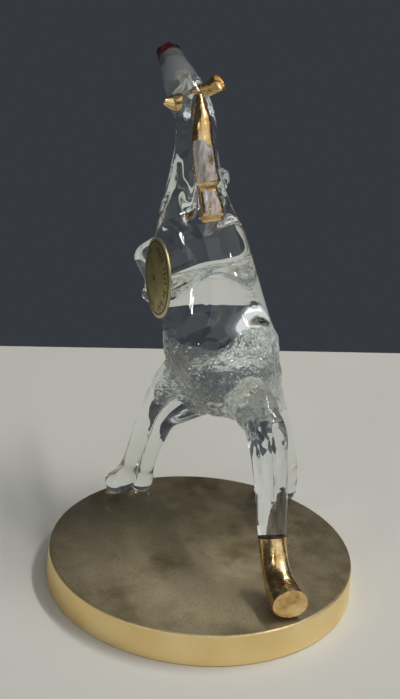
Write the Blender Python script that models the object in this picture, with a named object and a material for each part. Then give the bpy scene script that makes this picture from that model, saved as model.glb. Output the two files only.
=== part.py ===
"""A rearing horse of clear solid glass on a round turned brass base, with a round foil seal on its flank.

Units are metres and +Z is up. The horse faces -Y and its left side is +X. The origin is the middle of
the base's underside. The horse is hot-worked in one piece, so it is one solid: tubes that follow its
body, neck, head, legs, tail, ears and mane are fused and their joins are melted smooth. Its hips are
turned a little from the way its head points.

The horse's places and thicknesses are given in steps of its own height, from the soles of its feet, so
that it keeps its pose and proportions at any height. The base takes its width from where the feet stand.
"""

import math

import bmesh
import bpy
from mathutils import Vector
from mathutils.bvhtree import BVHTree

# Driving sizes of the horse
FIGURE_HEIGHT = 0.134
HEIGHT_IN_STEPS = 134.0
STEP = FIGURE_HEIGHT / HEIGHT_IN_STEPS

# How the fused glass is melted together and how fine its facets are
MELT_GRID = 0.0010
MELT_PASSES = 6
BODY_PASSES = 16
MELT_STRENGTH = 0.5
GLASS_FACETS = 7800

# Section of a tube: 2 is an ellipse, and a higher number squares its corners
ROUND = 2.0
TRUNK_SQUARENESS = 2.3

# Turned brass base
BASE_HEIGHT = 0.0094
BASE_BORDER = 0.0017
BASE_DRAFT = 0.0004
BASE_TOP_ROUNDING = 0.0007
BASE_FOOT_ROUNDING = 0.0003
BASE_SIDES = 96
ROUNDING_STEPS = 4

# Foil seal on the left flank
SEAL_DIAMETER = 0.024
SEAL_THICKNESS = 0.0004
SEAL_BEND = 0.0011
SEAL_RINGS = 5
SEAL_SIDES = 40
SEAL_CENTRE = (-36.0, 71.8)

# Air left between touching pieces
REST_GAP = 0.0003
SEAL_GAP = 0.0003

# Fineness of the tubes before they are melted together
TUBE_SIDES = 24
RINGS_PER_SPAN = 5
CAP_RINGS = 5

# Stations are (left, back, up, half width, half depth), in steps.
# Barrel and neck, from the end of the rump to the poll, as (back, up, half depth). Their middle
# leans over to the left between the haunches and the withers, as (up, left), and their half
# width is given at the rump's end, haunches, shoulders, foot of the neck, throat and poll
TRUNK_LINE = (
    (-12.5, 45.8, 10.5),
    (-17.5, 47.8, 14.0),
    (-22.0, 50.8, 15.5),
    (-26.0, 55.3, 15.2),
    (-29.5, 61.3, 13.6),
    (-33.0, 67.8, 12.4),
    (-36.8, 74.8, 11.8),
    (-40.8, 81.8, 11.4),
    (-44.4, 89.1, 10.4),
    (-46.8, 98.3, 9.2),
    (-48.5, 109.0, 7.6),
    (-50.0, 114.5, 7.0),
    (-52.5, 120.5, 6.2),
)
TRUNK_MIDDLE = ((50.0, -11.0), (86.0, -7.0))
TRUNK_HALF_WIDTH = (
    (45.8, 12.5),
    (49.0, 17.3),
    (82.0, 13.8),
    (104.0, 6.4),
    (114.5, 6.2),
    (120.5, 5.4),
)

# Round belly under the barrel
BELLY = (
    (-10.5, -34.0, 56.5, 12.5, 15.0),
    (-11.5, -36.0, 59.5, 12.5, 15.0),
)

# Head, from inside the neck to the muzzle, with the cheek and jaw under it
HEAD = (
    (-6.5, -50.0, 118.5, 5.0, 6.0),
    (-5.8, -55.0, 121.8, 5.7, 6.4),
    (-5.4, -61.0, 124.7, 5.4, 5.6),
    (-5.7, -67.0, 127.0, 4.5, 4.6),
    (-6.1, -72.0, 128.8, 4.0, 4.0),
    (-6.3, -76.5, 130.1, 3.8, 3.9),
)
JAW = (
    (-6.6, -53.5, 115.5, 3.4, 4.4),
    (-6.2, -58.0, 117.4, 4.0, 5.0),
    (-5.9, -63.0, 121.0, 3.6, 4.2),
    (-6.1, -69.0, 125.4, 3.0, 3.0),
    (-6.3, -75.0, 128.6, 3.2, 3.0),
)

# Ears: the right one a short horn with a hollow end, the left one folded to a point
RIGHT_EAR = (
    (-8.0, -54.5, 122.0, 1.8, 1.8),
    (-10.8, -53.0, 124.2, 2.2, 2.0),
    (-13.6, -50.5, 126.9, 2.7, 2.3),
)
LEFT_EAR = (
    (-3.6, -55.0, 119.6, 2.9, 2.6),
    (-1.0, -54.4, 119.9, 2.5, 2.2),
    (2.0, -53.6, 120.5, 1.0, 1.0),
)

# Mane, two lobes that ride on the crest of the neck
UPPER_MANE = (
    (-6.4, -46.5, 123.5, 1.1, 1.4),
    (-5.6, -41.5, 118.0, 2.6, 2.8),
    (-5.3, -38.8, 111.5, 3.3, 3.2),
    (-5.8, -36.4, 105.0, 3.5, 3.2),
    (-6.6, -34.6, 101.0, 3.4, 3.0),
)
LOWER_MANE = (
    (-7.0, -36.0, 99.5, 2.8, 2.4),
    (-7.4, -33.6, 95.5, 3.2, 2.8),
    (-7.7, -31.4, 91.8, 3.4, 2.7),
)

# Hind legs, each two lobes with a crease between them, from the haunch down to the hoof
LEFT_LEG_OUTER = (
    (-3.5, -22.0, 49.5, 7.0, 9.5),
    (2.4, -28.0, 42.5, 4.6, 7.4),
    (6.4, -32.0, 33.5, 3.3, 5.0),
    (10.3, -32.5, 21.5, 2.7, 3.4),
    (11.6, -35.5, 11.8, 2.6, 2.9),
    (12.8, -37.5, 5.0, 3.7, 3.9),
    (15.8, -38.8, 2.4, 3.6, 3.3),
)
LEFT_LEG_INNER = (
    (-9.0, -21.0, 42.0, 6.0, 8.0),
    (-2.8, -26.5, 35.2, 4.4, 7.0),
    (2.6, -31.0, 28.2, 3.7, 5.0),
    (5.7, -32.5, 18.8, 3.1, 3.4),
    (6.7, -35.5, 9.6, 2.9, 3.0),
    (7.0, -37.0, 4.2, 3.5, 3.7),
    (7.2, -38.0, 2.0, 3.4, 3.2),
)
RIGHT_LEG_OUTER = (
    (-19.0, -15.5, 49.5, 7.0, 9.0),
    (-24.6, -17.0, 39.4, 4.6, 7.2),
    (-30.2, -18.5, 27.4, 3.5, 4.8),
    (-34.2, -19.0, 15.8, 2.9, 3.4),
    (-36.3, -21.8, 8.0, 3.1, 3.3),
    (-36.6, -23.2, 2.6, 3.8, 3.7),
)
RIGHT_LEG_INNER = (
    (-15.0, -16.0, 44.5, 6.0, 8.0),
    (-22.0, -17.5, 35.0, 4.2, 6.0),
    (-26.6, -19.0, 24.0, 3.4, 4.4),
    (-29.2, -20.0, 13.2, 2.9, 3.2),
    (-30.2, -23.2, 6.5, 3.0, 3.3),
    (-30.2, -25.0, 2.3, 3.4, 3.6),
)

# Forelegs, raised from the chest and bent at the knee
LEFT_FORELEG = (
    (-4.8, -46.5, 78.5, 5.6, 6.3),
    (-0.8, -54.0, 75.0, 3.9, 4.5),
    (3.0, -61.0, 70.3, 3.0, 3.3),
    (1.6, -64.3, 66.0, 2.3, 2.7),
    (-1.0, -65.0, 61.0, 2.1, 2.3),
    (-2.2, -67.0, 56.5, 2.6, 2.7),
    (-2.6, -68.8, 54.0, 3.0, 2.9),
)
RIGHT_FORELEG = (
    (-10.5, -47.5, 84.0, 6.0, 7.5),
    (-15.5, -55.5, 90.0, 4.0, 5.0),
    (-21.2, -62.0, 94.6, 2.7, 3.2),
    (-20.6, -67.0, 91.4, 2.3, 2.6),
    (-18.0, -69.0, 85.0, 2.1, 2.3),
    (-16.8, -71.5, 79.5, 2.6, 2.7),
    (-16.4, -73.4, 76.8, 3.0, 2.9),
)

# Tail, a thick strand and a thin one side by side, cut off flat where it rests on the base
TAIL_MAIN = (
    (-12.0, -12.0, 44.5, 7.0, 6.5),
    (-13.0, -1.0, 46.0, 5.6, 5.8),
    (-13.5, 8.0, 43.5, 4.7, 5.2),
    (-13.4, 15.5, 36.0, 4.0, 4.6),
    (-12.6, 20.0, 25.0, 3.8, 4.0),
    (-12.2, 23.5, 15.5, 3.5, 3.6),
    (-11.8, 29.0, 8.6, 3.5, 3.4),
    (-11.6, 35.0, 5.6, 4.2, 3.9),
    (-11.4, 41.0, 4.4, 4.9, 4.3),
)
TAIL_STRAND = (
    (-9.0, -9.0, 43.5, 4.0, 5.5),
    (-9.8, 1.0, 44.0, 3.2, 4.6),
    (-10.0, 9.5, 40.0, 2.7, 3.6),
    (-10.2, 17.0, 29.0, 2.5, 3.0),
    (-10.2, 21.5, 17.0, 2.3, 2.5),
    (-9.8, 27.5, 9.0, 2.3, 2.5),
    (-9.3, 34.0, 5.6, 2.8, 3.2),
    (-9.0, 40.8, 4.4, 3.2, 3.6),
)

SIDEWAYS = Vector((1.0, 0.0, 0.0))
HIPS_TURN = math.radians(-20.0)
ACROSS_HIPS = Vector((math.cos(HIPS_TURN), math.sin(HIPS_TURN), 0.0))
UPWARDS = Vector((0.0, 0.0, 1.0))


def material(name, colour, roughness, metallic=0.0, transmission=0.0):
    """Return a plain Principled material."""
    result = bpy.data.materials.new(name)
    result.use_nodes = True
    shader = result.node_tree.nodes["Principled BSDF"]
    shader.inputs["Base Color"].default_value = (*colour, 1.0)
    shader.inputs["Roughness"].default_value = roughness
    shader.inputs["Metallic"].default_value = metallic
    shader.inputs["Transmission Weight"].default_value = transmission
    return result


def add_object(name, form, finish):
    """Link a finished bmesh into the scene as a named object with one material."""
    mesh = bpy.data.meshes.new(name)
    form.to_mesh(mesh)
    form.free()
    mesh.materials.append(finish)
    mesh.shade_smooth()
    piece = bpy.data.objects.new(name, mesh)
    bpy.context.collection.objects.link(piece)
    return piece


def smooth_between(before, start, end, after, share):
    """Return the point of a Catmull-Rom curve at a share of the way from start to end."""
    values = []
    for a, b, c, d in zip(before, start, end, after):
        bend = (2 * a - 5 * b + 4 * c - d) * share ** 2 + (3 * b - a - 3 * c + d) * share ** 3
        values.append(0.5 * (2 * b + (c - a) * share + bend))
    return values


def value_at(stops, place):
    """Return the value at a place on the straight lines through (place, value) stops."""
    for (start, before), (end, after) in zip(stops, stops[1:]):
        if place <= end:
            share = max(0.0, (place - start) / (end - start))
            return before + (after - before) * share
    return stops[-1][1]


def trunk_stations():
    """Return the trunk's stations, each with its middle and half width worked out from its height."""
    stations = []
    for back, up, half_depth in TRUNK_LINE:
        left = value_at(TRUNK_MIDDLE, up)
        half_width = value_at(TRUNK_HALF_WIDTH, up)
        stations.append((left, back, up, half_width, half_depth))
    return stations


def resample(stations):
    """Return closely spaced stations on a smooth curve through the given ones."""
    padded = (stations[0],) + tuple(stations) + (stations[-1],)
    result = []
    for index in range(len(stations) - 1):
        before, start, end, after = padded[index:index + 4]
        for ring in range(RINGS_PER_SPAN):
            result.append(smooth_between(before, start, end, after, ring / RINGS_PER_SPAN))
    result.append(list(stations[-1]))
    return result


def ring_frame(centres, index):
    """Return the tube's direction, width direction and depth direction at one of its rings."""
    before = centres[max(index - 1, 0)]
    after = centres[min(index + 1, len(centres) - 1)]
    along = (after - before).normalized()
    hint = ACROSS_HIPS if abs(along.dot(ACROSS_HIPS)) < 0.9 else UPWARDS
    wide = (hint - along * hint.dot(along)).normalized()
    deep = along.cross(wide)
    return along, wide, deep


def squared(value, squareness):
    """Return a sine or cosine bent so that a ring of such points has squarer corners."""
    return math.copysign(abs(value) ** (2 / squareness), value)


def add_ring(form, centre, wide, deep, half_width, half_depth, squareness):
    """Add one ring of points round an ellipse, or round a squarer outline."""
    ring = []
    for side in range(TUBE_SIDES):
        angle = 2 * math.pi * side / TUBE_SIDES
        across = half_width * squared(math.cos(angle), squareness)
        along_depth = half_depth * squared(math.sin(angle), squareness)
        ring.append(form.verts.new(centre + wide * across + deep * along_depth))
    return ring


def add_tube(form, stations, start_cap=0.8, end_cap=0.8, squareness=ROUND):
    """Add a closed tube through the stations.

    A cap is how far its rounded end stands out, as a share of the end's half depth. Zero cuts the end
    off flat, and a negative share hollows it.
    """
    steps = resample(stations)
    centres = [Vector(values[:3]) * STEP for values in steps]
    sizes = [(values[3] * STEP, values[4] * STEP) for values in steps]
    last = len(centres) - 1
    rings = []
    poles = []
    for end, cap in ((0, start_cap), (last, end_cap)):
        along, wide, deep = ring_frame(centres, end)
        outward = -along if end == 0 else along
        half_width, half_depth = sizes[end]
        capped = []
        for count in range(1, CAP_RINGS):
            angle = math.pi / 2 * count / CAP_RINGS
            reach = cap * half_depth * math.sin(angle)
            shrink = math.cos(angle)
            centre = centres[end] + outward * reach
            sizes_here = (half_width * shrink, half_depth * shrink)
            capped.append(add_ring(form, centre, wide, deep, *sizes_here, squareness))
        poles.append((form.verts.new(centres[end] + outward * cap * half_depth), capped))
    start_rings = list(reversed(poles[0][1]))
    for index, (centre, (half_width, half_depth)) in enumerate(zip(centres, sizes)):
        along, wide, deep = ring_frame(centres, index)
        rings.append(add_ring(form, centre, wide, deep, half_width, half_depth, squareness))
    rings = start_rings + rings + poles[1][1]
    for ring, following in zip(rings, rings[1:]):
        join_rings(form, ring, following)
    close_end(form, rings[0], poles[0][0], False)
    close_end(form, rings[-1], poles[1][0], True)


def join_rings(form, ring, following):
    """Join two rings with a band of faces that face outwards."""
    for side in range(TUBE_SIDES):
        beside = (side + 1) % TUBE_SIDES
        form.faces.new((ring[side], ring[beside], following[beside], following[side]))


def close_end(form, ring, pole, at_end):
    """Close a tube's end with a fan of triangles."""
    for side in range(TUBE_SIDES):
        beside = (side + 1) % TUBE_SIDES
        if at_end:
            form.faces.new((ring[side], ring[beside], pole))
        else:
            form.faces.new((ring[beside], ring[side], pole))


def melted(form, passes):
    """Return the overlapping tubes fused into one skin with its joins melted smooth."""
    rough = bpy.data.objects.new("rough", bpy.data.meshes.new("rough"))
    form.to_mesh(rough.data)
    form.free()
    bpy.context.collection.objects.link(rough)
    fuse = rough.modifiers.new("Fuse", "REMESH")
    fuse.mode = "VOXEL"
    fuse.voxel_size = MELT_GRID
    melt = rough.modifiers.new("Melt", "SMOOTH")
    melt.factor = MELT_STRENGTH
    melt.iterations = passes
    skin = bmesh.new()
    skin.from_object(rough, bpy.context.evaluated_depsgraph_get())
    bpy.data.objects.remove(rough)
    return skin


def cut_soles(form):
    """Cut the feet and the tail's end off flat at the height of the soles."""
    level = Vector((0.0, 0.0, BASE_HEIGHT + REST_GAP))
    everything = form.verts[:] + form.edges[:] + form.faces[:]
    bmesh.ops.bisect_plane(form, geom=everything, plane_co=level, plane_no=UPWARDS, clear_inner=True)
    rims = [edge for edge in form.edges if edge.is_boundary]
    bmesh.ops.holes_fill(form, edges=rims, sides=0)
    bmesh.ops.triangulate(form, faces=form.faces)


def build_horse(finish):
    """Return the horse, standing on the base's top."""
    form = bmesh.new()
    add_tube(form, trunk_stations(), squareness=TRUNK_SQUARENESS)
    add_tube(form, BELLY, 1.0, 1.0)
    form = melted(form, BODY_PASSES)
    add_tube(form, HEAD)
    add_tube(form, JAW)
    add_tube(form, RIGHT_EAR, end_cap=-0.8)
    add_tube(form, LEFT_EAR, end_cap=0.5)
    add_tube(form, UPPER_MANE, end_cap=0.5)
    add_tube(form, LOWER_MANE, end_cap=0.2)
    for lobe in (LEFT_LEG_OUTER, LEFT_LEG_INNER, RIGHT_LEG_OUTER, RIGHT_LEG_INNER):
        add_tube(form, lobe)
    for leg in (LEFT_FORELEG, RIGHT_FORELEG):
        add_tube(form, leg)
    for strand in (TAIL_MAIN, TAIL_STRAND):
        add_tube(form, strand, end_cap=0.0)
    bmesh.ops.translate(form, verts=form.verts, vec=(0.0, 0.0, BASE_HEIGHT + REST_GAP))
    skin = melted(form, MELT_PASSES)
    cut_soles(skin)
    facets = len(skin.faces)
    horse = add_object("glass_horse", skin, finish)
    thin = horse.modifiers.new("Facets", "DECIMATE")
    thin.ratio = min(1.0, GLASS_FACETS / facets)
    return horse


def foot_reach():
    """Return how far the feet and the tail's end stand from the middle of the base."""
    ends = (LEFT_LEG_OUTER, LEFT_LEG_INNER, RIGHT_LEG_OUTER, RIGHT_LEG_INNER, TAIL_MAIN, TAIL_STRAND)
    return max(math.hypot(lobe[-1][0], lobe[-1][1]) for lobe in ends) * STEP


def base_profile(radius):
    """Return the base's turned outline, from the middle of its top to the middle of its underside."""
    points = [(0.0, BASE_HEIGHT)]
    rounded = BASE_TOP_ROUNDING
    for count in range(ROUNDING_STEPS + 1):
        angle = math.pi / 2 * (1 - count / ROUNDING_STEPS)
        across = radius - BASE_DRAFT - rounded + rounded * math.cos(angle)
        points.append((across, BASE_HEIGHT - rounded + rounded * math.sin(angle)))
    points.append((radius, BASE_FOOT_ROUNDING))
    points.append((radius - BASE_FOOT_ROUNDING, 0.0))
    points.append((0.0, 0.0))
    return points


def build_base(finish):
    """Return the base, turned from its outline."""
    radius = foot_reach() + BASE_BORDER
    form = bmesh.new()
    outline = [form.verts.new((across, 0.0, up)) for across, up in base_profile(radius)]
    edges = [form.edges.new(pair) for pair in zip(outline, outline[1:])]
    bmesh.ops.spin(form, geom=outline + edges, cent=(0, 0, 0), axis=(0, 0, 1), angle=2 * math.pi,
                   steps=BASE_SIDES, use_duplicate=False, use_merge=True)
    bmesh.ops.remove_doubles(form, verts=form.verts, dist=0.00001)
    bmesh.ops.recalc_face_normals(form, faces=form.faces)
    base = add_object("base", form, finish)
    base.data.set_sharp_from_angle(angle=math.radians(30))
    return base


def seal_points():
    """Return the rings of points of the seal's inner side, with its middle at the left of the origin."""
    rings = []
    for count in range(1, SEAL_RINGS + 1):
        share = count / SEAL_RINGS
        ring = []
        for side in range(SEAL_SIDES):
            angle = 2 * math.pi * side / SEAL_SIDES
            back = SEAL_DIAMETER / 2 * share * math.cos(angle)
            up = SEAL_DIAMETER / 2 * share * math.sin(angle)
            ring.append(Vector((-SEAL_BEND * share ** 2, back, up)))
        rings.append(ring)
    return rings


def resting_place(horse, rings):
    """Return where the seal's middle lies so that no part of it is nearer to the flank than its gap."""
    graph = bpy.context.evaluated_depsgraph_get()
    flank = BVHTree.FromObject(horse, graph)
    back, up = (share * STEP for share in SEAL_CENTRE)
    middle = Vector((FIGURE_HEIGHT, back, up + BASE_HEIGHT + REST_GAP))
    left = -FIGURE_HEIGHT
    for point in [Vector((0.0, 0.0, 0.0))] + [point for ring in rings for point in ring]:
        hit = flank.ray_cast(middle + point, -SIDEWAYS)[0]
        if hit is not None:
            left = max(left, hit.x - point.x)
    return Vector((left + SEAL_GAP, middle.y, middle.z))


def build_seal(horse, finish):
    """Return the foil seal, a thin shallow dish stuck to the flank."""
    rings = seal_points()
    place = resting_place(horse, rings)
    form = bmesh.new()
    centre = form.verts.new(place)
    loops = [[form.verts.new(place + point) for point in ring] for ring in rings]
    for side in range(SEAL_SIDES):
        beside = (side + 1) % SEAL_SIDES
        form.faces.new((centre, loops[0][side], loops[0][beside]))
        for inner, outer in zip(loops, loops[1:]):
            form.faces.new((inner[side], outer[side], outer[beside], inner[beside]))
    seal = add_object("foil_seal", form, finish)
    thicken = seal.modifiers.new("Foil", "SOLIDIFY")
    thicken.thickness = SEAL_THICKNESS
    thicken.offset = 1.0
    return seal


def build():
    """Build the horse, its base and its seal."""
    for old in list(bpy.data.objects):
        bpy.data.objects.remove(old)
    glass = material("clear glass", (0.90, 0.95, 0.94), 0.02, transmission=1.0)
    brass = material("satin brass", (0.62, 0.50, 0.28), 0.38, metallic=1.0)
    foil = material("gold foil", (0.50, 0.40, 0.14), 0.35, metallic=1.0)
    horse = build_horse(glass)
    build_base(brass)
    build_seal(horse, foil)


build()
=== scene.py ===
"""Looks of a rearing horse of clear glass on a round brass base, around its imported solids.

Units are metres and +Z is up. The horse faces -Y and its left side is +X. Its glass is built again here
from the solid's own stations, far finer. Its gold, worn and dark red places and its cloudy and crinkled
glass are cut into that one skin. The gold ears are closed forms in the same mesh.
"""

import math

import bmesh
import bpy
import numpy as np
from mathutils import Matrix, Vector, noise


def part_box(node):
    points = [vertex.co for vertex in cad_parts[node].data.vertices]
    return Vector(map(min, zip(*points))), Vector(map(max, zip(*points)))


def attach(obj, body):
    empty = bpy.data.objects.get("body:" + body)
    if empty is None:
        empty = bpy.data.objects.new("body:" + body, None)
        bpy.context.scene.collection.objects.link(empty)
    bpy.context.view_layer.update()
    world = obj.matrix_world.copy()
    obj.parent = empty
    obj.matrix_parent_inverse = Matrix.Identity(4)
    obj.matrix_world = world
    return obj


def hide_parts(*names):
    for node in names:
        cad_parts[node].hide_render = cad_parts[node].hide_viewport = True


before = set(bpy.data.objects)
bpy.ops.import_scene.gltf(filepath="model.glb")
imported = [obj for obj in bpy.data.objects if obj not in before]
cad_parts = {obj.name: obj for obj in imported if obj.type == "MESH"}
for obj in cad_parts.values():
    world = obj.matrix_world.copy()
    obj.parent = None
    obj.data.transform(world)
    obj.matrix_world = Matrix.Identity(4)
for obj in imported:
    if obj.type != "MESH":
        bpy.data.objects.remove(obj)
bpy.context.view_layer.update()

# The horse is given in steps of its own height, from the soles of its feet
FIGURE_HEIGHT = 0.134
HEIGHT_IN_STEPS = 134.0
STEP = FIGURE_HEIGHT / HEIGHT_IN_STEPS
SOLE_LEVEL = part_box("glass_horse")[0].z

# Fineness of the glass
TUBE_SIDES = 72
RINGS_PER_SPAN = 12
CAP_RINGS = 10
MELT_GRID = 0.00055
MELT_PASSES = 9
BODY_GRID = 0.0010
BODY_PASSES = 16
MELT_STRENGTH = 0.5

# Section of a tube: 2 is an ellipse, and a higher number squares its corners
ROUND = 2.0
TRUNK_SQUARENESS = 2.3

# How far a tube's rounded end stands out, as a share of its half depth. A negative share hollows it
ROUNDED_END = 0.8
BELLY_END = 1.0
RIGHT_EAR_END = -0.8
LEFT_EAR_END = 0.5
UPPER_MANE_END = 0.5
LOWER_MANE_END = 0.2

# Material slots of the horse, after the clear glass in slot 0
GOLD = 1
WORN = 2
RED = 3
CLOUDY = 4
CRINKLED = 5
SHADOW_LINE = 6

# Material slots of the seal's relief
PRINT = 0
RIM = 1

# A point of the skin this near a colour's border, as a share of the melt grid, counts as on it
BORDER_SNAP = 0.08

# Edges of the skin that turn by more than this are shown sharp
SHARP_ANGLE = math.radians(55)

# Where the colours on the glass lie: places in steps, the mane's as shares of a lobe's length or half
# width, and the width of the painted shadow line at the start of the tail's gold in metres
TAIL_GOLD_START = (-12.0, 23.5, 15.8)
TAIL_GOLD_DIRECTION = (0.0, 0.42, -0.9)
TAIL_GOLD_BEHIND = 12.0
MUZZLE_START = (-6.2, -73.4, 129.1)
MUZZLE_DIRECTION = (-0.04, -0.96, 0.28)
TAIL_SHADOW_LINE_WIDTH = 0.0007
MANE_REACH = 1.14
WORN_FROM = 0.48
WORN_WIDTH = 0.84
LOWER_WORN_FROM = 0.22
LOWER_WORN_WIDTH = 0.66
WORN_TO = 0.985
MANE_GOLD_PAST_END = 1.2
CLOUDY_START = (-6.0, -57.0, 121.5)
CLOUDY_DIRECTION = (0.0, -0.93, 0.36)
CRINKLED_FROM = 36.0
CRINKLED_TO = 57.5
CRINKLED_HIGHER_RIGHT = 6.0
CRINKLED_RIGHT = (-6.0, -14.0)
CRINKLED_REACH = (-27.0, 2.0)
CRINKLED_WAVER = 3.0

# Rough sizes of a mane lobe, in metres, that turn its shares into lengths
MANE_HALF_WIDTH = 0.003
MANE_LENGTH = 0.02

# Waver of the colours' borders: heights in metres, scales per metre
MUZZLE_WAVER = 0.0004
MUZZLE_WAVER_SCALE = 500.0
WORN_WAVER = 0.0030
WORN_WAVER_SCALE = 260.0
CLOUDY_WAVER = 0.0008
CLOUDY_WAVER_SCALE = 240.0
CRINKLED_WAVER_SCALE = 150.0

# Hand-worked relief of the glass: heights in metres, scales per metre
RUMP_FOLDS = 0.00075
RUMP_FOLD_SCALE = 150.0
RUMP_CRINKLES = 0.00042
RUMP_CRINKLE_SCALE = 340.0
NECK_STREAKS = 0.00034
NECK_STREAK_SCALE = 330.0
MUZZLE_LUMPS = 0.00065
MUZZLE_LUMP_SCALE = 560.0
NECK_STREAK_STRETCH = (1.0, 1.0, 0.28)

# Where the relief starts and where it is full, in steps, and at the muzzle in metres
RUMP_LOWER_FADE = (34.0, 42.0)
RUMP_UPPER_FADE = (63.0, 57.0)
RUMP_FRONT_FADE = (-36.0, -27.0)
NECK_FADE = (88.0, 100.0)
MUZZLE_FADE = (-0.0005, 0.0008)

# Foil seal: its printed ring, its strokes and its middle, as shares of its radius
SEAL_RADIUS = 0.012
SEAL_BEND = 0.0011
SEAL_RELIEF = 0.00006
SEAL_RIM = (0.945, 1.0)
SEAL_RING = (0.885, 0.915)
SEAL_STROKES = 40
SEAL_STROKE_REACH = ((0.67, 0.82), (0.70, 0.82), (0.67, 0.77))
SEAL_STROKE_GAPS = (0, 5, 12, 13, 21, 24, 31, 32, 37)
SEAL_STROKE_WIDTH = 0.00050
SEAL_MIDDLE = 0.10
SEAL_STAR_WAIST = 0.55
SEAL_STAR_CORNERS = 12
SEAL_BAND_SIDES = 72
SEAL_PLATE_DEPTH = 1.6

# Middle of the painted pool of light on the base's top, and the distances from it between which the
# painted shade darkens the brass to its far shade, in metres
PAINTED_LIGHT_MIDDLE = (0.006, 0.014, 0.0094)
PAINTED_LIGHT_REACH = 0.012
PAINTED_SHADE_REACH = 0.048
FAR_SHADE = 0.48

# Glass, how often light may pass or mirror in it, and the limit on its bright specks
GLASS_IOR = 1.5
GLASS_BOUNCES = 24
GLOSS_BOUNCES = 12
BRIGHTEST_INDIRECT = 6.0

# The photograph's camera, fitted to the base's two rims
FRAME_WIDTH_PIXELS = 400.0
FRAME_HEIGHT_PIXELS = 699.0
FOCAL_PIXELS = 1300.0
SENSOR = 36.0
CAMERA_PLACE = (0.12466, 0.30853, 0.21042)
CAMERA_FORWARD = (-0.3334, -0.8616, -0.3828)
CAMERA_ROLL = 4.64

# The table: its far edge as (column, row) in the photograph, and its other corners in metres
TABLE_FAR_EDGE_PIXELS = ((400.0, 353.0), (200.0, 349.5), (0.0, 346.0))
TABLE_NEAR_CORNERS = ((1.4, 1.5), (-1.5, 1.5), (-1.5, 0.19))
TABLE_LAST_CORNER = (1.4, -0.48)
TABLE_DECIMALS = 3

HIPS_TURN = math.radians(-20.0)
ACROSS_HIPS = Vector((math.cos(HIPS_TURN), math.sin(HIPS_TURN), 0.0))
UPWARDS = Vector((0.0, 0.0, 1.0))

# Stations are (left, back, up, half width, half depth), in steps.
# Barrel and neck, from the end of the rump to the poll, as (back, up, half depth). Their middle
# leans over to the left between the haunches and the withers, as (up, left), and their half
# width is given at the rump's end, haunches, shoulders, foot of the neck, throat and poll
TRUNK_LINE = (
    (-12.5, 45.8, 10.5),
    (-17.5, 47.8, 14.0),
    (-22.0, 50.8, 15.5),
    (-26.0, 55.3, 15.2),
    (-29.5, 61.3, 13.6),
    (-33.0, 67.8, 12.4),
    (-36.8, 74.8, 11.8),
    (-40.8, 81.8, 11.4),
    (-44.4, 89.1, 10.4),
    (-46.8, 98.3, 9.2),
    (-48.5, 109.0, 7.6),
    (-50.0, 114.5, 7.0),
    (-52.5, 120.5, 6.2),
)
TRUNK_MIDDLE = ((50.0, -11.0), (86.0, -7.0))
TRUNK_HALF_WIDTH = (
    (45.8, 12.5),
    (49.0, 17.3),
    (82.0, 13.8),
    (104.0, 6.4),
    (114.5, 6.2),
    (120.5, 5.4),
)

# Round belly under the barrel
BELLY = (
    (-10.5, -34.0, 56.5, 12.5, 15.0),
    (-11.5, -36.0, 59.5, 12.5, 15.0),
)

# Head, from inside the neck to the muzzle, with the cheek and jaw under it
HEAD = (
    (-6.5, -50.0, 118.5, 5.0, 6.0),
    (-5.8, -55.0, 121.8, 5.7, 6.4),
    (-5.4, -61.0, 124.7, 5.4, 5.6),
    (-5.7, -67.0, 127.0, 4.5, 4.6),
    (-6.1, -72.0, 128.8, 4.0, 4.0),
    (-6.3, -76.5, 130.1, 3.8, 3.9),
)
JAW = (
    (-6.6, -53.5, 115.5, 3.4, 4.4),
    (-6.2, -58.0, 117.4, 4.0, 5.0),
    (-5.9, -63.0, 121.0, 3.6, 4.2),
    (-6.1, -69.0, 125.4, 3.0, 3.0),
    (-6.3, -75.0, 128.6, 3.2, 3.0),
)

# Ears: the right one a short horn with a hollow end, the left one folded to a point
RIGHT_EAR = (
    (-8.0, -54.5, 122.0, 1.8, 1.8),
    (-10.8, -53.0, 124.2, 2.2, 2.0),
    (-13.6, -50.5, 126.9, 2.7, 2.3),
)
LEFT_EAR = (
    (-3.6, -55.0, 119.6, 2.9, 2.6),
    (-1.0, -54.4, 119.9, 2.5, 2.2),
    (2.0, -53.6, 120.5, 1.0, 1.0),
)

# Mane, two lobes that ride on the crest of the neck
UPPER_MANE = (
    (-6.4, -46.5, 123.5, 1.1, 1.4),
    (-5.6, -41.5, 118.0, 2.6, 2.8),
    (-5.3, -38.8, 111.5, 3.3, 3.2),
    (-5.8, -36.4, 105.0, 3.5, 3.2),
    (-6.6, -34.6, 101.0, 3.4, 3.0),
)
LOWER_MANE = (
    (-7.0, -36.0, 99.5, 2.8, 2.4),
    (-7.4, -33.6, 95.5, 3.2, 2.8),
    (-7.7, -31.4, 91.8, 3.4, 2.7),
)

# Hind legs, each two lobes with a crease between them, from the haunch down to the hoof
LEFT_LEG_OUTER = (
    (-3.5, -22.0, 49.5, 7.0, 9.5),
    (2.4, -28.0, 42.5, 4.6, 7.4),
    (6.4, -32.0, 33.5, 3.3, 5.0),
    (10.3, -32.5, 21.5, 2.7, 3.4),
    (11.6, -35.5, 11.8, 2.6, 2.9),
    (12.8, -37.5, 5.0, 3.7, 3.9),
    (15.8, -38.8, 2.4, 3.6, 3.3),
)
LEFT_LEG_INNER = (
    (-9.0, -21.0, 42.0, 6.0, 8.0),
    (-2.8, -26.5, 35.2, 4.4, 7.0),
    (2.6, -31.0, 28.2, 3.7, 5.0),
    (5.7, -32.5, 18.8, 3.1, 3.4),
    (6.7, -35.5, 9.6, 2.9, 3.0),
    (7.0, -37.0, 4.2, 3.5, 3.7),
    (7.2, -38.0, 2.0, 3.4, 3.2),
)
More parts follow.
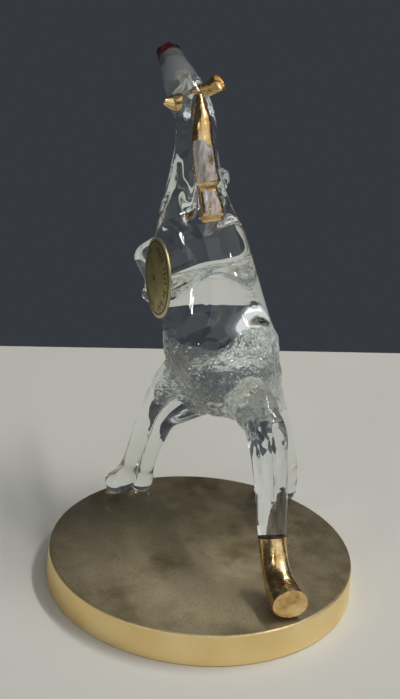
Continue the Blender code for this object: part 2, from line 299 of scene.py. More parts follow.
RIGHT_LEG_OUTER = (
    (-19.0, -15.5, 49.5, 7.0, 9.0),
    (-24.6, -17.0, 39.4, 4.6, 7.2),
    (-30.2, -18.5, 27.4, 3.5, 4.8),
    (-34.2, -19.0, 15.8, 2.9, 3.4),
    (-36.3, -21.8, 8.0, 3.1, 3.3),
    (-36.6, -23.2, 2.6, 3.8, 3.7),
)
RIGHT_LEG_INNER = (
    (-15.0, -16.0, 44.5, 6.0, 8.0),
    (-22.0, -17.5, 35.0, 4.2, 6.0),
    (-26.6, -19.0, 24.0, 3.4, 4.4),
    (-29.2, -20.0, 13.2, 2.9, 3.2),
    (-30.2, -23.2, 6.5, 3.0, 3.3),
    (-30.2, -25.0, 2.3, 3.4, 3.6),
)

# Forelegs, raised from the chest and bent at the knee
LEFT_FORELEG = (
    (-4.8, -46.5, 78.5, 5.6, 6.3),
    (-0.8, -54.0, 75.0, 3.9, 4.5),
    (3.0, -61.0, 70.3, 3.0, 3.3),
    (1.6, -64.3, 66.0, 2.3, 2.7),
    (-1.0, -65.0, 61.0, 2.1, 2.3),
    (-2.2, -67.0, 56.5, 2.6, 2.7),
    (-2.6, -68.8, 54.0, 3.0, 2.9),
)
RIGHT_FORELEG = (
    (-10.5, -47.5, 84.0, 6.0, 7.5),
    (-15.5, -55.5, 90.0, 4.0, 5.0),
    (-21.2, -62.0, 94.6, 2.7, 3.2),
    (-20.6, -67.0, 91.4, 2.3, 2.6),
    (-18.0, -69.0, 85.0, 2.1, 2.3),
    (-16.8, -71.5, 79.5, 2.6, 2.7),
    (-16.4, -73.4, 76.8, 3.0, 2.9),
)

# Tail, a thick strand and a thin one side by side
TAIL_MAIN = (
    (-12.0, -12.0, 44.5, 7.0, 6.5),
    (-13.0, -1.0, 46.0, 5.6, 5.8),
    (-13.5, 8.0, 43.5, 4.7, 5.2),
    (-13.4, 15.5, 36.0, 4.0, 4.6),
    (-12.6, 20.0, 25.0, 3.8, 4.0),
    (-12.2, 23.5, 15.5, 3.5, 3.6),
    (-11.8, 29.0, 8.6, 3.5, 3.4),
    (-11.6, 35.0, 5.6, 4.2, 3.9),
    (-11.4, 41.0, 4.4, 4.9, 4.3),
)
TAIL_STRAND = (
    (-9.0, -9.0, 43.5, 4.0, 5.5),
    (-9.8, 1.0, 44.0, 3.2, 4.6),
    (-10.0, 9.5, 40.0, 2.7, 3.6),
    (-10.2, 17.0, 29.0, 2.5, 3.0),
    (-10.2, 21.5, 17.0, 2.3, 2.5),
    (-9.8, 27.5, 9.0, 2.3, 2.5),
    (-9.3, 34.0, 5.6, 2.8, 3.2),
    (-9.0, 40.8, 4.4, 3.2, 3.6),
)

# The tail's strands are made a little long, and both are cut off flat at this plane
TAIL_CUT = (-10.4, 40.8, 4.5)
TAIL_CUT_FACING = (0.03, 0.985, 0.17)
TAIL_CUT_REACH = 0.009
TAIL_SPARE = 0.35


# Materials

def blank_material(name):
    """Return a new material with its node tree and its Principled shader."""
    result = bpy.data.materials.new(name)
    result.use_nodes = True
    tree = result.node_tree
    return result, tree, tree.nodes["Principled BSDF"]


def add_node(tree, kind, **inputs):
    """Add a shader node and set some of its inputs, named with _ for a space."""
    result = tree.nodes.new(kind)
    for name, value in inputs.items():
        result.inputs[name.replace("_", " ")].default_value = value
    return result


def object_place(tree):
    """Return the socket of a point's place in the piece's own frame."""
    return tree.nodes.new("ShaderNodeTexCoord").outputs["Object"]


def noise_share(tree, scale, detail=4.0, roughness=0.55):
    """Return a noise texture's share socket at a scale per metre."""
    texture = add_node(tree, "ShaderNodeTexNoise", Scale=scale, Detail=detail, Roughness=roughness)
    tree.links.new(object_place(tree), texture.inputs["Vector"])
    return texture.outputs["Fac"]


def drawn_out_share(tree, scale):
    """Return a noise texture's share socket, drawn out upwards into streaks."""
    stretch = tree.nodes.new("ShaderNodeMapping")
    stretch.inputs["Scale"].default_value = (1.0, 1.0, 0.15)
    tree.links.new(object_place(tree), stretch.inputs["Vector"])
    texture = add_node(tree, "ShaderNodeTexNoise", Scale=scale, Detail=3.0, Roughness=0.5)
    tree.links.new(stretch.outputs["Vector"], texture.inputs["Vector"])
    return texture.outputs["Fac"]


def ramp(tree, source, stops):
    """Return the colour socket of a ramp over a source, with (place, colour) stops."""
    result = tree.nodes.new("ShaderNodeValToRGB")
    entries = result.color_ramp.elements
    while len(entries) < len(stops):
        entries.new(0.5)
    for entry, (place, colour) in zip(entries, stops):
        entry.position = place
        entry.color = (*colour, 1.0)
    tree.links.new(source, result.inputs["Fac"])
    return result.outputs["Color"]


def grey(value):
    """Return a grey colour."""
    return (value, value, value)


def darkened(tree, colour, shade):
    """Return a colour multiplied by a shade."""
    result = tree.nodes.new("ShaderNodeMix")
    result.data_type = "RGBA"
    result.blend_type = "MULTIPLY"
    result.inputs[0].default_value = 1.0
    tree.links.new(colour, result.inputs[6])
    tree.links.new(shade, result.inputs[7])
    return result.outputs[2]


def painted_shade_falloff(tree):
    """Return painted shade for the base's top: none round its near middle, darker away from it."""
    away = tree.nodes.new("ShaderNodeVectorMath")
    away.operation = "DISTANCE"
    tree.links.new(object_place(tree), away.inputs[0])
    away.inputs[1].default_value = PAINTED_LIGHT_MIDDLE
    share = add_node(tree, "ShaderNodeMapRange", From_Min=PAINTED_LIGHT_REACH, From_Max=PAINTED_SHADE_REACH)
    tree.links.new(away.outputs["Value"], share.inputs["Value"])
    return ramp(tree, share.outputs["Result"], ((0.0, grey(1.0)), (1.0, grey(FAR_SHADE))))


def bump(tree, source, strength, distance):
    """Return the normal socket of a bump map over a source."""
    result = add_node(tree, "ShaderNodeBump", Strength=strength, Distance=distance)
    tree.links.new(source, result.inputs["Height"])
    return result.outputs["Normal"]


def clear_glass():
    """Return polished clear glass with the faint waves of hand work."""
    result, tree, shader = blank_material("clear glass")
    shader.inputs["Base Color"].default_value = (0.95, 0.985, 0.975, 1.0)
    shader.inputs["Roughness"].default_value = 0.0
    shader.inputs["IOR"].default_value = GLASS_IOR
    shader.inputs["Transmission Weight"].default_value = 1.0
    waves = noise_share(tree, 170.0, detail=2.0)
    tree.links.new(bump(tree, waves, 0.12, 0.0004), shader.inputs["Normal"])
    return result


def cloudy_glass():
    """Return glass made faintly white by fine bubbles."""
    result, tree, shader = blank_material("cloudy glass")
    shader.inputs["Base Color"].default_value = (0.88, 0.93, 0.92, 1.0)
    shader.inputs["Roughness"].default_value = 0.04
    shader.inputs["IOR"].default_value = GLASS_IOR
    shader.inputs["Transmission Weight"].default_value = 0.88
    waves = noise_share(tree, 260.0, detail=2.0)
    tree.links.new(bump(tree, waves, 0.4, 0.0006), shader.inputs["Normal"])
    return result


def crinkled_glass():
    """Return greenish glass full of the fine creases left by the tools."""
    result, tree, shader = blank_material("crinkled glass")
    shader.inputs["Base Color"].default_value = (0.86, 0.95, 0.92, 1.0)
    shader.inputs["Roughness"].default_value = 0.03
    shader.inputs["IOR"].default_value = GLASS_IOR
    shader.inputs["Transmission Weight"].default_value = 0.88
    creases = noise_share(tree, 330.0, detail=3.0)
    tree.links.new(bump(tree, creases, 0.9, 0.0022), shader.inputs["Normal"])
    return result


def gold_lustre():
    """Return bright fired gold, browner in places and finely streaked."""
    result, tree, shader = blank_material("gold lustre")
    patches = noise_share(tree, 260.0)
    colour = ramp(tree, patches,
                  ((0.3, (0.50, 0.28, 0.10)), (0.5, (0.82, 0.55, 0.24)), (0.7, (1.0, 0.79, 0.42))))
    tree.links.new(colour, shader.inputs["Base Color"])
    gloss = ramp(tree, noise_share(tree, 900.0), ((0.3, grey(0.16)), (0.75, grey(0.34))))
    tree.links.new(gloss, shader.inputs["Roughness"])
    tree.links.new(bump(tree, drawn_out_share(tree, 420.0), 0.5, 0.0005), shader.inputs["Normal"])
    shader.inputs["Metallic"].default_value = 1.0
    return result


def worn_lustre():
    """Return gold lustre worn to a thin pinkish film on the glass, its streaks coloured up to near white as
    painted highlights.
    """
    result, tree, shader = blank_material("worn lustre")
    streaks = drawn_out_share(tree, 700.0)
    # The pinkish film is worn lustre; the near white end of its streaks is painted highlight
    colour = ramp(tree, streaks,
                  ((0.36, (0.50, 0.33, 0.15)), (0.48, (0.78, 0.66, 0.58)), (0.62, (1.0, 0.95, 0.95))))
    tree.links.new(colour, shader.inputs["Base Color"])
    tree.links.new(bump(tree, streaks, 0.9, 0.0006), shader.inputs["Normal"])
    shader.inputs["Roughness"].default_value = 0.08
    shader.inputs["Metallic"].default_value = 0.2
    shader.inputs["IOR"].default_value = GLASS_IOR
    shader.inputs["Transmission Weight"].default_value = 0.6
    return result


def painted_shadow_line():
    """Return the dark brown of the painted shadow line along the edge of the tail's gold."""
    result, _, shader = blank_material("painted shadow line")
    shader.inputs["Base Color"].default_value = (0.05, 0.022, 0.008, 1.0)
    shader.inputs["Roughness"].default_value = 0.3
    return result


def dark_red():
    """Return glossy dark red enamel, darker in random patches."""
    result, tree, shader = blank_material("dark red enamel")
    dark_patches = noise_share(tree, 500.0)
    colour = ramp(tree, dark_patches, ((0.42, (0.012, 0.003, 0.004)), (0.7, (0.13, 0.012, 0.016))))
    tree.links.new(colour, shader.inputs["Base Color"])
    shader.inputs["Roughness"].default_value = 0.12
    shader.inputs["Coat Weight"].default_value = 0.6
    return result


# Glass horse

def smooth_between(before, start, end, after, share):
    """Return the point of a Catmull-Rom curve at a share of the way from start to end."""
    values = []
    for a, b, c, d in zip(before, start, end, after):
        bend = (2 * a - 5 * b + 4 * c - d) * share ** 2 + (3 * b - a - 3 * c + d) * share ** 3
        values.append(0.5 * (2 * b + (c - a) * share + bend))
    return values


def value_at(stops, place):
    """Return the value at a place on the straight lines through (place, value) stops."""
    for (start, before), (end, after) in zip(stops, stops[1:]):
        if place <= end:
            share = max(0.0, (place - start) / (end - start))
            return before + (after - before) * share
    return stops[-1][1]


def trunk_stations():
    """Return the trunk's stations, each with its middle and half width worked out from its height."""
    stations = []
    for back, up, half_depth in TRUNK_LINE:
        left = value_at(TRUNK_MIDDLE, up)
        half_width = value_at(TRUNK_HALF_WIDTH, up)
        stations.append((left, back, up, half_width, half_depth))
    return stations


def resample(stations):
    """Return closely spaced stations on a smooth curve through the given ones."""
    padded = (stations[0],) + tuple(stations) + (stations[-1],)
    result = []
    for index in range(len(stations) - 1):
        before, start, end, after = padded[index:index + 4]
        for ring in range(RINGS_PER_SPAN):
            result.append(smooth_between(before, start, end, after, ring / RINGS_PER_SPAN))
    result.append(list(stations[-1]))
    return result


def placed(steps):
    """Return a place given in steps as a point of the frame."""
    return Vector(steps) * STEP + Vector((0.0, 0.0, SOLE_LEVEL))


def ring_frame(centres, index):
    """Return the tube's direction, width direction and depth direction at one of its rings."""
    before = centres[max(index - 1, 0)]
    after = centres[min(index + 1, len(centres) - 1)]
    along = (after - before).normalized()
    hint = ACROSS_HIPS if abs(along.dot(ACROSS_HIPS)) < 0.9 else UPWARDS
    wide = (hint - along * hint.dot(along)).normalized()
    deep = along.cross(wide)
    return along, wide, deep


def squared(value, squareness):
    """Return a sine or cosine bent so that a ring of such points has squarer corners."""
    return math.copysign(abs(value) ** (2 / squareness), value)


def add_ring(form, centre, wide, deep, half_width, half_depth, squareness):
    """Add one ring of points round an ellipse, or round a squarer outline."""
    ring = []
    for side in range(TUBE_SIDES):
        angle = 2 * math.pi * side / TUBE_SIDES
        across = half_width * squared(math.cos(angle), squareness)
        along_depth = half_depth * squared(math.sin(angle), squareness)
        ring.append(form.verts.new(centre + wide * across + deep * along_depth))
    return ring


def add_tube(form, stations, start_cap=ROUNDED_END, end_cap=ROUNDED_END, squareness=ROUND):
    """Add a closed tube through the stations.

    A cap is how far its rounded end stands out, as a share of the end's half depth. Zero cuts the end
    off flat, and a negative share hollows it.
    """
    steps = resample(stations)
    centres = [placed(values[:3]) for values in steps]
    sizes = [(values[3] * STEP, values[4] * STEP) for values in steps]
    last = len(centres) - 1
    rings = []
    poles = []
    for end, cap in ((0, start_cap), (last, end_cap)):
        along, wide, deep = ring_frame(centres, end)
        outward = -along if end == 0 else along
        half_width, half_depth = sizes[end]
        capped = []
        for count in range(1, CAP_RINGS):
            angle = math.pi / 2 * count / CAP_RINGS
            reach = cap * half_depth * math.sin(angle)
            shrink = math.cos(angle)
            centre = centres[end] + outward * reach
            sizes_here = (half_width * shrink, half_depth * shrink)
            capped.append(add_ring(form, centre, wide, deep, *sizes_here, squareness))
        poles.append((form.verts.new(centres[end] + outward * cap * half_depth), capped))
    start_rings = list(reversed(poles[0][1]))
    for index, (centre, (half_width, half_depth)) in enumerate(zip(centres, sizes)):
        _, wide, deep = ring_frame(centres, index)
        rings.append(add_ring(form, centre, wide, deep, half_width, half_depth, squareness))
    rings = start_rings + rings + poles[1][1]
    for ring, following in zip(rings, rings[1:]):
        join_rings(form, ring, following)
    close_end(form, rings[0], poles[0][0], False)
    close_end(form, rings[-1], poles[1][0], True)


def join_rings(form, ring, following):
    """Join two rings with a band of faces that face outwards."""
    for side in range(TUBE_SIDES):
        beside = (side + 1) % TUBE_SIDES
        form.faces.new((ring[side], ring[beside], following[beside], following[side]))


def close_end(form, ring, pole, at_end):
    """Close a tube's end with a fan of triangles."""
    for side in range(TUBE_SIDES):
        beside = (side + 1) % TUBE_SIDES
        if at_end:
            form.faces.new((ring[side], ring[beside], pole))
        else:
            form.faces.new((ring[beside], ring[side], pole))


def melted(form, grid=MELT_GRID, passes=MELT_PASSES):
    """Return the overlapping tubes fused into one skin with its joins melted smooth."""
    rough = bpy.data.objects.new("rough", bpy.data.meshes.new("rough"))
    form.to_mesh(rough.data)
    form.free()
    bpy.context.collection.objects.link(rough)
    fuse = rough.modifiers.new("Fuse", "REMESH")
    fuse.mode = "VOXEL"
    fuse.voxel_size = grid
    melt = rough.modifiers.new("Melt", "SMOOTH")
    melt.factor = MELT_STRENGTH
    melt.iterations = passes
    skin = bmesh.new()
    skin.from_object(rough, bpy.context.evaluated_depsgraph_get())
    bpy.data.objects.remove(rough)
    return skin


def cut_flat(form, near, reach, place, facing):
    """Cut off what lies past a plane, near one place, and close the cut.

    The edges and faces are kept once each and in order, so that each run gives the same mesh.
    """
    points = [vert for vert in form.verts if (vert.co - near).length < reach]
    edges = dict.fromkeys(edge for vert in points for edge in vert.link_edges)
    faces = dict.fromkeys(face for vert in points for face in vert.link_faces)
    bmesh.ops.bisect_plane(form, geom=[*points, *edges, *faces], plane_co=place, plane_no=facing,
                           clear_outer=True)
    rims = [edge for edge in form.edges if edge.is_boundary]
    bmesh.ops.holes_fill(form, edges=rims, sides=0)


def point_array(form):
    """Return the places of a form's points as rows."""
    form.verts.index_update()
    return np.array([vert.co for vert in form.verts])


def lobe_reading(points, stations):
    """Return each point's distance from a lobe's middle line, in half sizes, its share along and its side."""
    steps = resample(stations)
    centres = [placed(values[:3]) for values in steps]
    line = np.array(centres)
    nearest = np.zeros(len(points), int)
    best = np.full(len(points), np.inf)
    for index, centre in enumerate(line):
        gap = ((points - centre) ** 2).sum(1)
        closer = gap < best
        nearest[closer] = index
        best[closer] = gap[closer]
    frames = np.array([[list(axis) for axis in ring_frame(centres, index)] for index in range(len(centres))])
    halves = np.array([values[3:5] for values in steps]) * STEP
    offset = points - line[nearest]
    past = np.einsum("ij,ij->i", offset, frames[nearest, 0]) / halves[nearest, 1]
    across = np.einsum("ij,ij->i", offset, frames[nearest, 1]) / halves[nearest, 0]
    deep = np.einsum("ij,ij->i", offset, frames[nearest, 2]) / halves[nearest, 1]
    return np.sqrt(past ** 2 + across ** 2 + deep ** 2), nearest / (len(centres) - 1), across


def grain(points, scale, seed):
    """Return a smooth noise from -1 to 1 at each point."""
    shift = Vector((seed, seed * 0.37, -seed * 0.61))
    return np.array([noise.noise(Vector(point) * scale + shift) for point in points])


def past_plane(points, place, direction):
    """Return how far each point lies past a plane."""
    return (points - np.array(place)) @ np.array(Vector(direction).normalized())


def paint(form, field, finish):
    """Cut the skin along the border where a field turns positive, and give the inside one finish."""
    values = field(point_array(form))
    small = MELT_GRID * BORDER_SNAP
    values[np.abs(values) < small] = 0.0
    crossing = [edge for edge in form.edges if values[edge.verts[0].index] * values[edge.verts[1].index] < 0]
    border = [vert for vert, value in zip(form.verts, values) if value == 0.0]
    worth = {vert: value for vert, value in zip(form.verts, values)}
    for edge in crossing:
        start, end = edge.verts
        share = worth[start] / (worth[start] - worth[end])
        added = bmesh.utils.edge_split(edge, start, share)[1]
        worth[added] = 0.0
        border.append(added)
    bmesh.ops.connect_verts(form, verts=border)
    for face in form.faces:
        if sum(worth[vert] for vert in face.verts) > 0:
            face.material_index = finish


def tail_gold(points):
    """Return the tail's gold end: positive past its dark line and behind the hind feet."""
    down = past_plane(points, placed(TAIL_GOLD_START), TAIL_GOLD_DIRECTION)
    behind = points[:, 1] - TAIL_GOLD_BEHIND * STEP
    return np.minimum(down, behind)


def tail_shadow_line(points):
    """Return the thin painted shadow line along the start of the tail's gold."""
    return TAIL_SHADOW_LINE_WIDTH / 2 - np.abs(tail_gold(points))


def muzzle_red(points):
    """Return the muzzle's dark red cap."""
    waver = MUZZLE_WAVER * grain(points, MUZZLE_WAVER_SCALE, 3.0)
    return past_plane(points, placed(MUZZLE_START), MUZZLE_DIRECTION) + waver


def mane_gold(stations):
    """Return the field of a mane lobe's lustre, which stops at the lobe's lower end."""
    def field(points):
        """Return how far each point lies inside the lustre."""
        distance, _, _ = lobe_reading(points, stations)
        end = placed(stations[-1][:3])
        before = placed(stations[-2][:3])
        above_end = MANE_GOLD_PAST_END * STEP - past_plane(points, end, end - before)
        return np.minimum((MANE_REACH - distance) * MANE_HALF_WIDTH, above_end)
    return field


def mane_worn(stations, start, width):
    """Return the field of the worn lower middle of a mane lobe."""
    def field(points):
        """Return how far each point lies inside the worn place."""
        distance, share, across = lobe_reading(points, stations)
        lower = (share - start) * MANE_LENGTH + WORN_WAVER * grain(points, WORN_WAVER_SCALE, 11.0)
        middle = (width - np.abs(across)) * MANE_HALF_WIDTH
        near = (MANE_REACH - distance) * MANE_HALF_WIDTH
        before_end = (WORN_TO - share) * MANE_LENGTH
        return np.minimum(np.minimum(lower, middle), np.minimum(near, before_end))
    return field


def head_cloudy(points):
    """Return the cloudy glass of the head, from the poll to the muzzle's cap."""
    waver = CLOUDY_WAVER * grain(points, CLOUDY_WAVER_SCALE, 19.0)
    return past_plane(points, placed(CLOUDY_START), CLOUDY_DIRECTION) + waver


def rump_crinkled(points):
    """Return the crinkled back of the rump and haunches."""
    up = (points[:, 2] - SOLE_LEVEL) / STEP
    back = points[:, 1] / STEP
    upper = CRINKLED_TO + CRINKLED_HIGHER_RIGHT * faded(points[:, 0] / STEP, *CRINKLED_RIGHT)
    edge = CRINKLED_WAVER * grain(points, CRINKLED_WAVER_SCALE, 23.0)
    height = np.minimum(up - CRINKLED_FROM, upper - up) + edge
    front, rear = CRINKLED_REACH
    return np.minimum(height, np.minimum(back - front, rear - back + 0.5 * edge)) * STEP


def faded(values, start, full):
    """Return 0 to 1 as the values go from a start to where the effect is full."""
    share = np.clip((values - start) / (full - start), 0.0, 1.0)
    return share * share * (3.0 - 2.0 * share)


def work_surface(form):
    """Give the skin the folds of the rump, the streaks of the neck and head and the lumps of the muzzle."""
    form.normal_update()
    points = point_array(form)
    up = (points[:, 2] - SOLE_LEVEL) / STEP
    back = points[:, 1] / STEP
    rump = faded(up, *RUMP_LOWER_FADE) * faded(up, *RUMP_UPPER_FADE) * faded(back, *RUMP_FRONT_FADE)
    neck = faded(up, *NECK_FADE)
    muzzle = faded(past_plane(points, placed(MUZZLE_START), MUZZLE_DIRECTION), *MUZZLE_FADE)
    drawn_out = points * np.array(NECK_STREAK_STRETCH)
    height = rump * RUMP_FOLDS * grain(points, RUMP_FOLD_SCALE, 2.0)
    height += rump * RUMP_CRINKLES * grain(points, RUMP_CRINKLE_SCALE, 7.0)
    height += neck * NECK_STREAKS * grain(drawn_out, NECK_STREAK_SCALE, 13.0)
    height += muzzle * MUZZLE_LUMPS * grain(points, MUZZLE_LUMP_SCALE, 17.0)
    for vert, rise in zip(form.verts, height):
        vert.co += vert.normal * rise


def add_gold_ears(form):
    """Add both ears, covered all over with gold lustre."""
    first = len(form.faces)
    add_tube(form, RIGHT_EAR, end_cap=RIGHT_EAR_END)
    add_tube(form, LEFT_EAR, end_cap=LEFT_EAR_END)
    form.faces.ensure_lookup_table()
    for face in form.faces[first:]:
        face.material_index = GOLD


def build_glass_horse():
    """Add the horse's fine skin with its finishes."""
    form = bmesh.new()
    add_tube(form, trunk_stations(), squareness=TRUNK_SQUARENESS)
    add_tube(form, BELLY, BELLY_END, BELLY_END)
    form = melted(form, BODY_GRID, BODY_PASSES)
    add_tube(form, HEAD)
    add_tube(form, JAW)
    add_tube(form, UPPER_MANE, end_cap=UPPER_MANE_END)
    add_tube(form, LOWER_MANE, end_cap=LOWER_MANE_END)
    for lobe in (LEFT_LEG_OUTER, LEFT_LEG_INNER, RIGHT_LEG_OUTER, RIGHT_LEG_INNER):
        add_tube(form, lobe)
    for leg in (LEFT_FORELEG, RIGHT_FORELEG):
        add_tube(form, leg)
    for strand in (TAIL_MAIN, TAIL_STRAND):
        add_tube(form, strand, end_cap=TAIL_SPARE)
    skin = melted(form)
    work_surface(skin)
    middle = Vector((0.0, 0.0, SOLE_LEVEL))
    cut_flat(skin, middle, FIGURE_HEIGHT, middle, -UPWARDS)
    cut_flat(skin, placed(TAIL_CUT), TAIL_CUT_REACH, placed(TAIL_CUT), Vector(TAIL_CUT_FACING))
    paint(skin, rump_crinkled, CRINKLED)
    paint(skin, tail_gold, GOLD)
    # A thin line of painted shadow along the start of the tail's gold
    paint(skin, tail_shadow_line, SHADOW_LINE)
    paint(skin, mane_gold(UPPER_MANE), GOLD)
    paint(skin, mane_gold(LOWER_MANE), GOLD)
    paint(skin, mane_worn(UPPER_MANE, WORN_FROM, WORN_WIDTH), WORN)
    paint(skin, mane_worn(LOWER_MANE, LOWER_WORN_FROM, LOWER_WORN_WIDTH), WORN)
    paint(skin, head_cloudy, CLOUDY)
    paint(skin, muzzle_red, RED)
    add_gold_ears(skin)
    mesh = bpy.data.meshes.new("horse")
    skin.to_mesh(mesh)
    skin.free()
    finishes = (clear_glass(), gold_lustre(), worn_lustre(), dark_red(), cloudy_glass(), crinkled_glass(),
                painted_shadow_line())
    for finish in finishes:
        mesh.materials.append(finish)
    mesh.shade_smooth()
    mesh.set_sharp_from_angle(angle=SHARP_ANGLE)
    horse = bpy.data.objects.new("horse", mesh)
    bpy.context.collection.objects.link(horse)
    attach(horse, "root")
    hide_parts("glass_horse")


# Brass base

def tarnished_brass():
    """Return brass, brown and pitted on its flat top with painted light and shade there, bright satin on its
    side.
    """
    result, tree, shader = blank_material("tarnished brass")
    place = add_node(tree, "ShaderNodeSeparateXYZ")
    tree.links.new(object_place(tree), place.inputs["Vector"])
    on_top = add_node(tree, "ShaderNodeMapRange")
    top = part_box("base")[1].z
    on_top.inputs["From Min"].default_value = top - 0.0004
    on_top.inputs["From Max"].default_value = top - 0.0001
    tree.links.new(place.outputs["Z"], on_top.inputs["Value"])
    smudges = ramp(tree, noise_share(tree, 47.0, 6.0, 0.62),
                   ((0.36, (0.34, 0.27, 0.15)), (0.50, (0.58, 0.48, 0.30)), (0.72, (0.69, 0.58, 0.38))))
    pits = ramp(tree, noise_share(tree, 2200.0, 2.0, 0.7), ((0.33, grey(0.45)), (0.41, grey(1.0))))
    # The top's tarnish and pits, under painted shade that darkens them away from the lit near middle
    tarnish_and_painted_shade = darkened(tree, darkened(tree, smudges, pits), painted_shade_falloff(tree))
    side = ramp(tree, noise_share(tree, 60.0), ((0.3, (0.90, 0.66, 0.28)), (0.7, (1.0, 0.79, 0.40))))
    mixed = tree.nodes.new("ShaderNodeMix")
    mixed.data_type = "RGBA"
    tree.links.new(on_top.outputs["Result"], mixed.inputs[0])
    tree.links.new(side, mixed.inputs[6])
    tree.links.new(tarnish_and_painted_shade, mixed.inputs[7])
    tree.links.new(mixed.outputs[2], shader.inputs["Base Color"])
    rough = ramp(tree, noise_share(tree, 240.0), ((0.3, grey(0.34)), (0.7, grey(0.46))))
    tree.links.new(rough, shader.inputs["Roughness"])
    shader.inputs["Metallic"].default_value = 0.75
    tree.links.new(bump(tree, noise_share(tree, 2200.0, 3.0), 0.25, 0.0001), shader.inputs["Normal"])
    return result


def dress_base():
    """Give the base its brass."""
    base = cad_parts["base"]
    base.data.materials.clear()
    base.data.materials.append(tarnished_brass())


# Foil seal

def gold_foil():
    """Return olive gold foil."""
    result, tree, shader = blank_material("olive gold foil")
    colour = ramp(tree, noise_share(tree, 300.0), ((0.3, (0.36, 0.29, 0.10)), (0.7, (0.56, 0.47, 0.20))))
    tree.links.new(colour, shader.inputs["Base Color"])
    shader.inputs["Roughness"].default_value = 0.38
    shader.inputs["Metallic"].default_value = 0.8
    return result


def dark_print():
    """Return the dark print pressed into the foil."""
    result, _, shader = blank_material("dark print")
    shader.inputs["Base Color"].default_value = (0.055, 0.045, 0.022, 1.0)
    shader.inputs["Roughness"].default_value = 0.5
    return result


def pale_rim():
    """Return the foil's worn pale rim."""
    result, _, shader = blank_material("pale foil rim")
    shader.inputs["Base Color"].default_value = (0.60, 0.56, 0.40, 1.0)
    shader.inputs["Roughness"].default_value = 0.3
    shader.inputs["Metallic"].default_value = 0.6
    return result


def on_seal(distance, angle):
    """Return a place just proud of the seal's face, at a distance from its middle."""
    low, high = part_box("foil_seal")
    middle = (low + high) / 2
    sag = SEAL_BEND * (distance / SEAL_RADIUS) ** 2
    left = high.x + SEAL_RELIEF - sag
    return Vector((left, middle.y + distance * math.cos(angle), middle.z + distance * math.sin(angle)))


def add_plate(form, corners, finish):
    """Add one thin raised plate over the foil, with a rim down to it."""
    top = [form.verts.new(place) for place in corners]
    foot = [form.verts.new(place - Vector((SEAL_PLATE_DEPTH * SEAL_RELIEF, 0.0, 0.0))) for place in corners]
    form.faces.new(top).material_index = finish
    for index, corner in enumerate(top):
        beside = (index + 1) % len(top)
        form.faces.new((foot[index], foot[beside], top[beside], corner)).material_index = finish


def add_seal_band(form, inner, outer, finish):
    """Add a raised band round the seal between two shares of its radius."""
    for side in range(SEAL_BAND_SIDES):
        start = 2 * math.pi * side / SEAL_BAND_SIDES
        end = 2 * math.pi * (side + 1) / SEAL_BAND_SIDES
        corners = [on_seal(inner * SEAL_RADIUS, start), on_seal(outer * SEAL_RADIUS, start),
                   on_seal(outer * SEAL_RADIUS, end), on_seal(inner * SEAL_RADIUS, end)]
        add_plate(form, corners, finish)


def add_seal_strokes(form, finish):
    """Add the ring of short plain strokes."""
    for count in range(SEAL_STROKES):
        if count in SEAL_STROKE_GAPS:
            continue
        angle = 2 * math.pi * count / SEAL_STROKES
        inner, outer = SEAL_STROKE_REACH[count % len(SEAL_STROKE_REACH)]
        half = SEAL_STROKE_WIDTH / 2
        corners = [on_seal(inner * SEAL_RADIUS, angle - half / (inner * SEAL_RADIUS)),
                   on_seal(outer * SEAL_RADIUS, angle - half / (outer * SEAL_RADIUS)),
                   on_seal(outer * SEAL_RADIUS, angle + half / (outer * SEAL_RADIUS)),
                   on_seal(inner * SEAL_RADIUS, angle + half / (inner * SEAL_RADIUS))]
        add_plate(form, corners, finish)


def add_seal_middle(form, finish):
    """Add the small dark star in the middle of the seal."""
    corners = []
    for count in range(SEAL_STAR_CORNERS):
        reach = SEAL_MIDDLE if count % 2 else SEAL_MIDDLE * SEAL_STAR_WAIST
        corners.append(on_seal(reach * SEAL_RADIUS, 2 * math.pi * count / SEAL_STAR_CORNERS))
    add_plate(form, corners, finish)


def dress_seal():
    """Give the seal its foil and the relief printed on it."""
    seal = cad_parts["foil_seal"]
    seal.data.materials.clear()
    seal.data.materials.append(gold_foil())
    form = bmesh.new()
    add_seal_band(form, *SEAL_RIM, RIM)
    add_seal_band(form, *SEAL_RING, PRINT)
    add_seal_strokes(form, PRINT)
    add_seal_middle(form, PRINT)
    mesh = bpy.data.meshes.new("seal_relief")
    form.to_mesh(mesh)
    form.free()
    for finish in (dark_print(), pale_rim()):
        mesh.materials.append(finish)
    relief = bpy.data.objects.new("seal_relief", mesh)
    bpy.context.collection.objects.link(relief)
    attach(relief, "root")


# Stage, lights and camera

def camera_axes():
    """Return the directions forward, right and up of the photograph's camera."""
    forward = Vector(CAMERA_FORWARD).normalized()
    level = forward.cross(UPWARDS).normalized()
    upright = level.cross(forward)
    roll = math.radians(CAMERA_ROLL)
    right = level * math.cos(roll) + upright * math.sin(roll)
    up = upright * math.cos(roll) - level * math.sin(roll)
    return forward, right, up


def seen_on_table(column, row):
    """Return the place on the table, to a millimetre, that shows at a pixel of the photograph."""
    forward, right, up = camera_axes()
    across = right * (column - FRAME_WIDTH_PIXELS / 2)
    above = up * (FRAME_HEIGHT_PIXELS / 2 - row)
    sight = forward * FOCAL_PIXELS + across + above
    place = Vector(CAMERA_PLACE) - sight * (CAMERA_PLACE[2] / sight.z)
    return round(place.x, TABLE_DECIMALS), round(place.y, TABLE_DECIMALS)


def add_stage():
    """Add the pale table, whose far edge runs behind the horse."""
    far_edge = [seen_on_table(column, row) for column, row in TABLE_FAR_EDGE_PIXELS]
    corners = (*TABLE_NEAR_CORNERS, *far_edge, TABLE_LAST_CORNER)
    mesh = bpy.data.meshes.new("table")
    mesh.from_pydata([(x, y, 0.0) for x, y in corners], [], [tuple(range(len(corners)))])
    table = bpy.data.objects.new("table", mesh)
    bpy.context.collection.objects.link(table)
    finish, _, shader = blank_material("pale table")
    shader.inputs["Base Color"].default_value = (0.62, 0.615, 0.575, 1.0)
    shader.inputs["Roughness"].default_value = 0.7
    mesh.materials.append(finish)


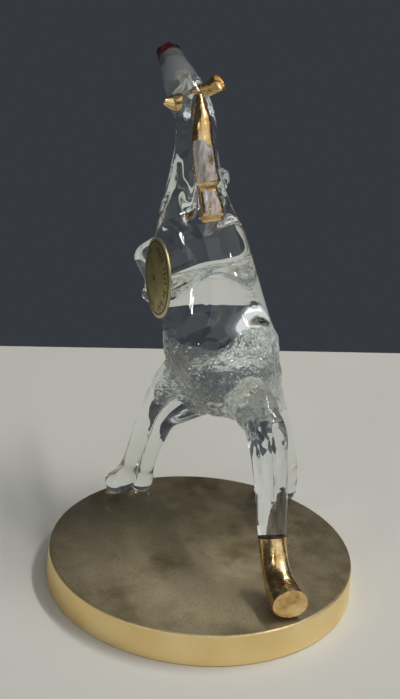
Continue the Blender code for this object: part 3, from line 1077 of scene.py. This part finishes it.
def add_lamp(name, place, aim, width, depth, power, colour):
    """Add a rectangular area light that faces its aim."""
    lamp = bpy.data.lights.new(name, "AREA")
    lamp.shape = "RECTANGLE"
    lamp.size = width
    lamp.size_y = depth
    lamp.energy = power
    lamp.color = colour
    holder = bpy.data.objects.new(name, lamp)
    holder.location = place
    holder.rotation_euler = (Vector(aim) - Vector(place)).to_track_quat("-Z", "Y").to_euler()
    bpy.context.collection.objects.link(holder)


def add_lights():
    """Add tube lights overhead and behind the horse, broad soft panels, and a dark slate room."""
    aim = (0.0, 0.0, 0.05)
    warm = (1.0, 0.98, 0.94)
    add_lamp("tube_near", (-0.80, 0.10, 1.60), aim, 1.2, 0.035, 7.5, warm)
    add_lamp("tube_far", (-0.80, -0.10, 1.60), aim, 1.2, 0.035, 7.5, warm)
    add_lamp("back_tube_left", (1.12, 0.63, 0.90), aim, 0.34, 0.012, 0.9, warm)
    add_lamp("back_tube_left_upper", (1.09, 0.61, 0.95), aim, 0.28, 0.012, 0.9, warm)
    add_lamp("back_tube_right", (-0.74, 0.90, 1.08), aim, 0.12, 0.012, 0.4, warm)
    add_lamp("panel", (-0.9, 1.0, 2.1), aim, 4.0, 4.0, 35.0, (1.0, 0.99, 0.96))
    add_lamp("panel_behind", (0.9, 2.2, 0.9), aim, 2.2, 1.6, 6.0, (1.0, 0.99, 0.96))
    world = bpy.data.worlds.new("slate room")
    world.use_nodes = True
    background = world.node_tree.nodes["Background"]
    background.inputs["Color"].default_value = (0.0365, 0.0405, 0.0485, 1.0)
    background.inputs["Strength"].default_value = 1.0
    bpy.context.scene.world = world


def add_camera():
    """Add the camera at the photograph's viewing angle."""
    forward, right, up = camera_axes()
    lens = bpy.data.cameras.new("camera")
    lens.sensor_width = SENSOR
    lens.lens = FOCAL_PIXELS * SENSOR / FRAME_HEIGHT_PIXELS
    lens.clip_start = 0.01
    camera = bpy.data.objects.new("camera", lens)
    turn = Matrix((right, up, -forward)).transposed()
    camera.matrix_world = Matrix.Translation(CAMERA_PLACE) @ turn.to_4x4()
    bpy.context.collection.objects.link(camera)
    bpy.context.scene.camera = camera


def set_light_paths():
    """Let light pass through the many surfaces of the glass, and show plain tones."""
    scene = bpy.context.scene
    scene.cycles.max_bounces = GLASS_BOUNCES
    scene.cycles.transmission_bounces = GLASS_BOUNCES
    scene.cycles.glossy_bounces = GLOSS_BOUNCES
    scene.cycles.sample_clamp_indirect = BRIGHTEST_INDIRECT
    scene.view_settings.view_transform = "Standard"


build_glass_horse()
dress_base()
dress_seal()
add_stage()
add_lights()
add_camera()
set_light_paths()
